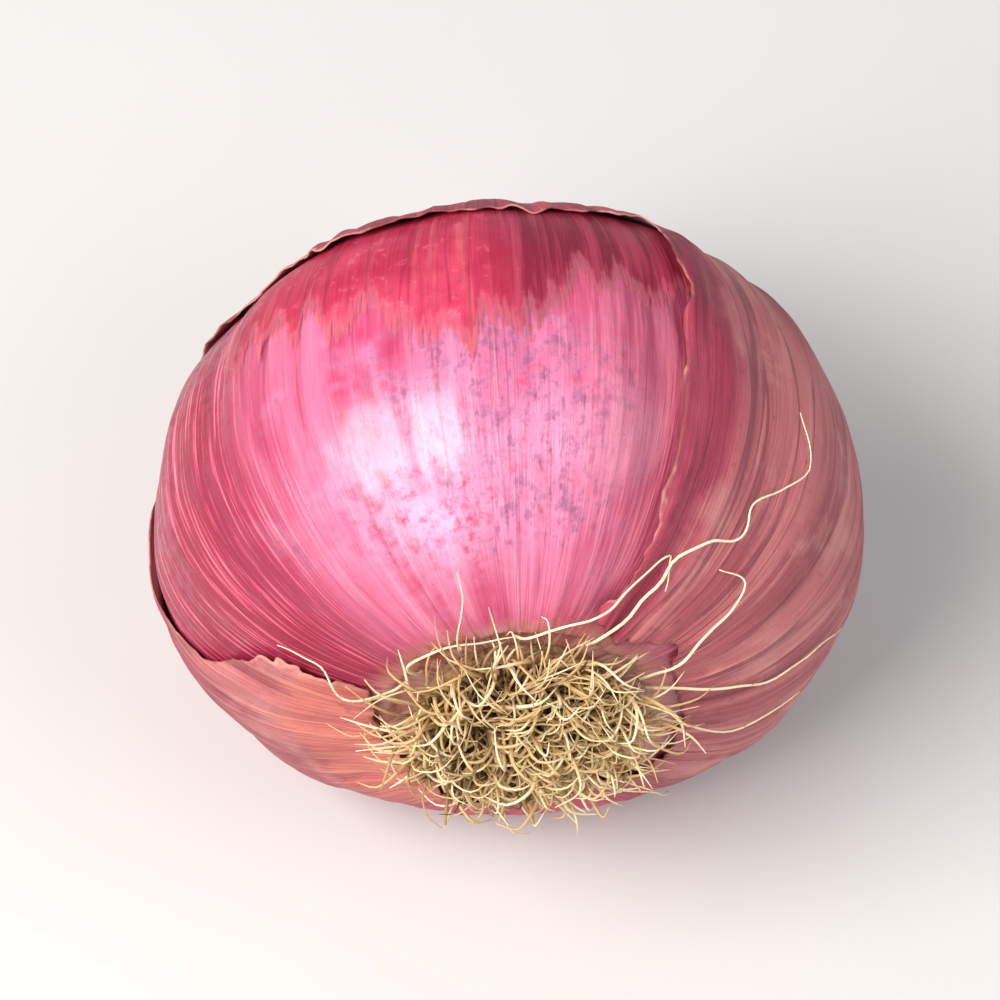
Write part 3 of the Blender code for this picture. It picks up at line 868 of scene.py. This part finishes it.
def strand(points, radii, tints):
    """A mesh of one tube along the points, closed at both ends, with a radius and a tint at each."""
    aims = [(after - before).normalized() for before, after in zip(points, points[1:])]
    aims = [aims[0], *((a + b).normalized() for a, b in zip(aims, aims[1:])), aims[-1]]
    bm = bmesh.new()
    kept = bm.verts.layers.float.new("tint")
    start = Matrix.Translation(points[0]) @ aims[0].to_track_quat("Z", "Y").to_matrix().to_4x4()
    bmesh.ops.create_circle(bm, cap_ends=True, segments=STRAND_SIDES, radius=radii[0], matrix=start)
    for v in bm.verts:
        v[kept] = tints[0]
    face = bm.faces[:][0]
    for i in range(1, len(points)):
        grown = bmesh.ops.extrude_face_region(bm, geom=[face, *face.edges])["geom"]
        face = next(g for g in grown if isinstance(g, bmesh.types.BMFace))
        turn = aims[i - 1].rotation_difference(aims[i])
        for v in face.verts:
            v.co = points[i] + turn @ (v.co - points[i - 1]) * (radii[i] / radii[i - 1])
            v[kept] = tints[i]
    face_outwards(bm)
    mesh = bpy.data.meshes.new("strand")
    bm.to_mesh(mesh)
    bm.free()
    return mesh


ROOT_SIDE = LINE[: int(np.argmax(LINE[:, 1])) + 1]


def clear_of_skin(point, clearance):
    """Moves a point out along the axis until it clears the bulb's root end or the plate."""
    radius = math.hypot(point.x, point.z)
    if radius > PLATE_RADIUS:
        point.y = min(point.y, float(np.interp(radius, ROOT_SIDE[:, 1], ROOT_SIDE[:, 0])) - clearance)
    else:
        point.y = min(point.y, PLATE_FACE - 0.5 * MM)
    return point


def root_points(rng, foot, out, share, length):
    """Points along one dried root: out of the plate, then winding its way over the others."""
    lean = Vector((rng.gauss(*ROOT_LEAN_RIGHT), 0, rng.gauss(*ROOT_LEAN_UP)))
    splay = ROOT_SPLAY + share**2 * rng.uniform(*ROOT_SPLAYS_AT_RIM) * (1 + max(0, out.z))
    aim = (Vector((0, -1, 0)) + splay * out + 0.5 * lean).normalized()
    axis = Vector((rng.gauss(0, 1), rng.gauss(0, 0.5), rng.gauss(0, 1))).normalized()
    bend = rng.uniform(*ROOT_BENDS)
    points = [foot + Vector((0, 0.6 * MM, 0)), foot]
    point = foot.copy()
    for _ in range(ROOT_STEPS):
        point = clear_of_skin(point + aim * length / ROOT_STEPS, ROOT_CLEARANCE)
        points.append(point.copy())
        aim.rotate(Quaternion(axis, bend))
        axis.rotate(Quaternion((0, 1, 0), rng.uniform(-0.5, 0.5)))
        if point.y < BRUSH_FACE:
            aim = (aim + Vector((0, TURNS_BACK_BY, 0))).normalized()
    return [Vector(point) for point in curve_through(np.array(points), 3)[2:]]


def make_roots(material):
    """The matted brush of dried roots on the plate."""
    rng = random.Random(11)
    brush = bmesh.new()
    for i in range(ROOT_COUNT):
        share = math.sqrt((i + 0.5) / ROOT_COUNT)
        turn = i * GOLDEN_ANGLE
        out = Vector((math.cos(turn), 0, math.sin(turn)))
        foot = out * share * ROOT_SPREAD + Vector((0, PLATE_FACE - PLATE_DOME * (1 - share**2), 0))
        length = rng.uniform(*ROOT_LENGTHS) * (1 - LOWER_ROOTS_SHORTER * share * max(0, -out.z))
        points = root_points(rng, foot, out, share, length)
        grown = [i / (len(points) - 1) for i in range(len(points))]
        thick = rng.uniform(*ROOT_RADII)
        radii = [thick * (1 - ROOT_TAPER * t * t) for t in grown]
        tint = rng.betavariate(*ROOT_TINTS)
        add_mesh(brush, strand(points, radii, [tint * min(1, 0.05 + 1.4 * t) for t in grown]))
    piece = new_piece("dried_roots", brush, [material], "root_tuft")
    lay_down(piece.data)
    return piece


def add_mesh(bm, mesh):
    """Adds a mesh to a bmesh, and removes the mesh."""
    bm.from_mesh(mesh)
    bpy.data.meshes.remove(mesh)


# Long fine roots over the skin: the angles in degrees and ways in millimetres that each passes
STRAYS = (
    ((96, 11), (84, 13), (70, 16), (66, 20), (58, 24), (55, 21)),
    ((24, 12), (31, 17), (36, 21), (38, 25), (45, 25)),
    ((62, 12), (58, 20), (54, 26), (46, 28), (46, 31), (38, 35), (39, 41)),
    ((124, 10), (120, 12), (112, 17), (107, 21)),
    ((150, 11), (142, 13.5), (119, 13), (94, 11.5)),
    ((17, 12), (10, 18), (4, 24), (0, 32)),
    ((-4, 12), (-12, 19), (-10, 27)),
    ((160, 11), (168, 15), (160, 19), (163, 23)),
    ((300, 12), (312, 19), (306, 26)),
)


def make_stray_roots(material):
    """Long fine pale roots that lie over the skin and the torn scale."""
    rng = random.Random(5)
    strays = bmesh.new()
    for stray in STRAYS:
        passed = np.array([(math.radians(turn), at * MM) for turn, at in stray])
        angle, way = curve_through(passed, 8).T
        angle = angle + STRAY_WAVER * drawn_noise(angle, way, 3, 30)
        lifted = np.where(outer_depth(angle, way) > -MM, outer_lift(angle, way) + 0.2 * MM, 0.1 * MM)
        lifted = np.convolve(np.pad(lifted, 4, "edge"), np.hanning(11)[1:-1] / 5, "valid")
        ends, middle = STRAY_RISES
        rise = ends + middle * np.sin(np.linspace(0, math.pi, len(way))) ** 2
        points = [Vector(point) for point in skin(angle, way, lifted + rise)]
        thick = rng.uniform(*STRAY_RADII)
        radii = [thick * (1 - STRAY_TAPER * i / len(points)) for i in range(len(points))]
        add_mesh(strays, strand(points, radii, [rng.uniform(*STRAY_TINTS)] * len(points)))
    piece = new_piece("stray_roots", strays, [material], "root_tuft")
    lay_down(piece.data)
    return piece


def make_floor():
    bm = bmesh.new()
    bmesh.ops.create_grid(bm, x_segments=2, y_segments=2, size=2)
    mesh = bpy.data.meshes.new("floor")
    bm.to_mesh(mesh)
    bm.free()
    floor = bpy.data.objects.new("floor", mesh)
    bpy.context.scene.collection.objects.link(floor)
    mesh.materials.append(pale_floor())


def look_at(obj, place, target, roll=0.0):
    obj.location = place
    aim = (Vector(target) - Vector(place)).to_track_quat("-Z", "Y")
    obj.rotation_euler = (aim @ Quaternion((0, 0, 1), roll)).to_euler()


def direction(azimuth, elevation):
    """Towards a viewer at this azimuth and elevation, in degrees. Azimuth 0 is on the -Y side."""
    a, e = math.radians(azimuth), math.radians(elevation)
    return Vector((math.sin(a) * math.cos(e), -math.cos(a) * math.cos(e), math.sin(e)))


def make_lamp(name, towards, distance, size, power, tint):
    """A soft rectangular lamp, in the direction given by its azimuth and elevation."""
    lamp = bpy.data.lights.new(name, "AREA")
    lamp.shape = "RECTANGLE"
    lamp.size, lamp.size_y = size
    lamp.energy = power
    lamp.color = tint
    obj = bpy.data.objects.new(name, lamp)
    bpy.context.scene.collection.objects.link(obj)
    look_at(obj, LAMPS_AIM_AT + direction(*towards) * distance, LAMPS_AIM_AT)


def light_scene():
    """Soft daylight from the left, a weak fill from the right, and pale surroundings."""
    make_lamp("window", *WINDOW_LAMP)
    make_lamp("fill", *FILL_LAMP)
    world = bpy.data.worlds.new("pale room")
    world.use_nodes = True
    backdrop = world.node_tree.nodes["Background"]
    backdrop.inputs["Color"].default_value = SURROUNDINGS
    backdrop.inputs["Strength"].default_value = SURROUNDINGS_STRENGTH
    bpy.context.scene.world = world
    bpy.context.scene.view_settings.view_transform = "Standard"


def place_camera():
    """Looks down on the onion from its root end, from far enough away for a flat perspective."""
    camera = bpy.data.objects.new("camera", bpy.data.cameras.new("camera"))
    bpy.context.scene.collection.objects.link(camera)
    camera.data.lens = CAMERA_LENS
    camera.data.sensor_width = CAMERA_WIDTH
    camera.data.clip_start = CAMERA_NEAREST
    place = CAMERA_AIMS_AT + direction(*CAMERA_FROM) * CAMERA_DISTANCE
    look_at(camera, place, CAMERA_AIMS_AT, CAMERA_ROLL)
    bpy.context.scene.camera = camera


def main():
    back = scale_back()
    scale = papery_scale()
    film = coral_film()
    root = dried_root()
    make_skin(glossy_skin())
    sheets = [scale, back]
    make_sheet("outer_scale", outer_depth, outer_lift, OUTER_WALL, sheets, OUTER_RESTS_AT, OUTER_DULL)
    make_sheet("coral_film", film_depth, film_lift, FILM_WALL, [film, film], FILM_RESTS_AT, FILM_DULL)
    make_neck_tips([scale])
    make_plate(corky_plate())
    make_roots(root)
    make_stray_roots(root)
    make_floor()
    light_scene()
    place_camera()


main()
